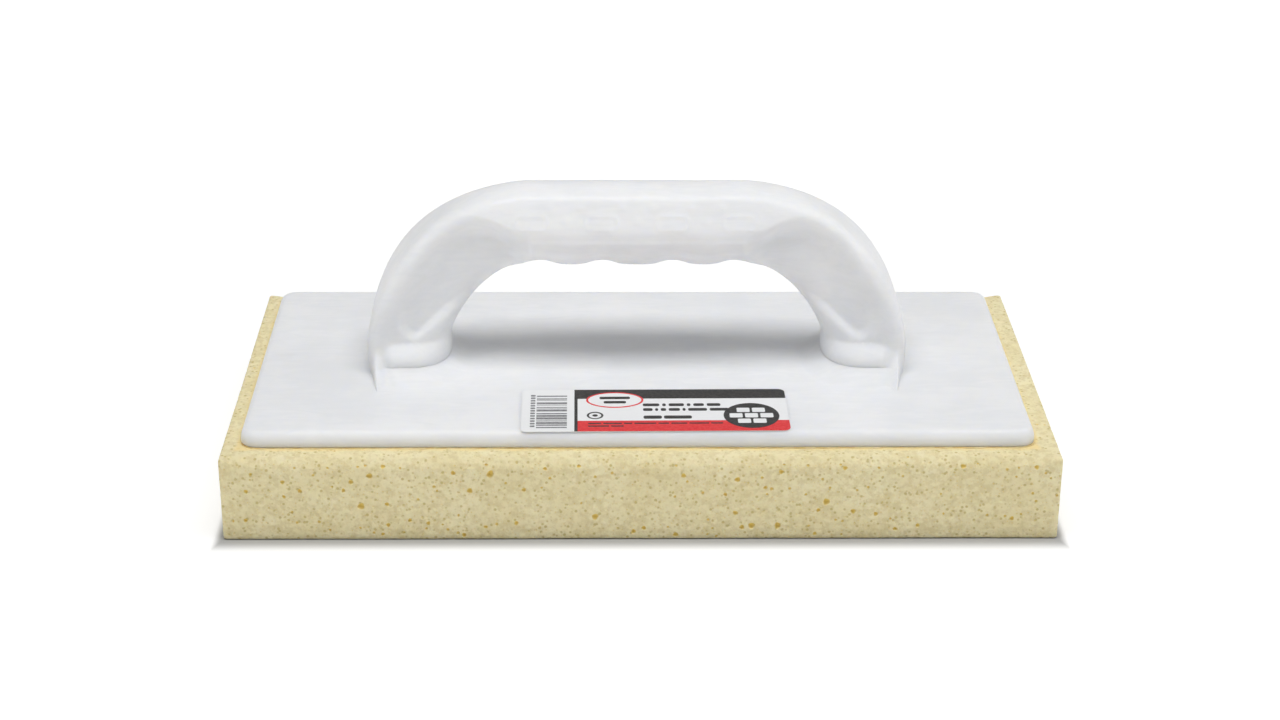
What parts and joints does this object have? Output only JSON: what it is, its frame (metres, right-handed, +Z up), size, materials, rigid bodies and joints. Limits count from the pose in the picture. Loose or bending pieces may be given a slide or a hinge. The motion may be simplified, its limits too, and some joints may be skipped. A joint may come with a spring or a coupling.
{
  "type": "grout float",
  "caption": "Sponge-faced grout float: a flat plastic backing plate with an arched finger-grooved handle over a thick rectangular sponge pad.",
  "frame": {"origin": "centre of the sponge pad's sole, where the float rests on the floor or tile", "axes": "+X along the float and its handle, +Y across it away from the label, +Z up from the sole to the handle"},
  "size_m": [0.28, 0.14, 0.1012],
  "materials": {
    "moulded_plastic": "satin",
    "adhesive": "satin",
    "sponge": "matte",
    "label": "satin"
  },
  "bodies": {
    "root": {"float_body": "moulded_plastic", "adhesive_layer": "adhesive", "sponge_pad": "sponge", "label": "label"}
  },
  "joints": []
}
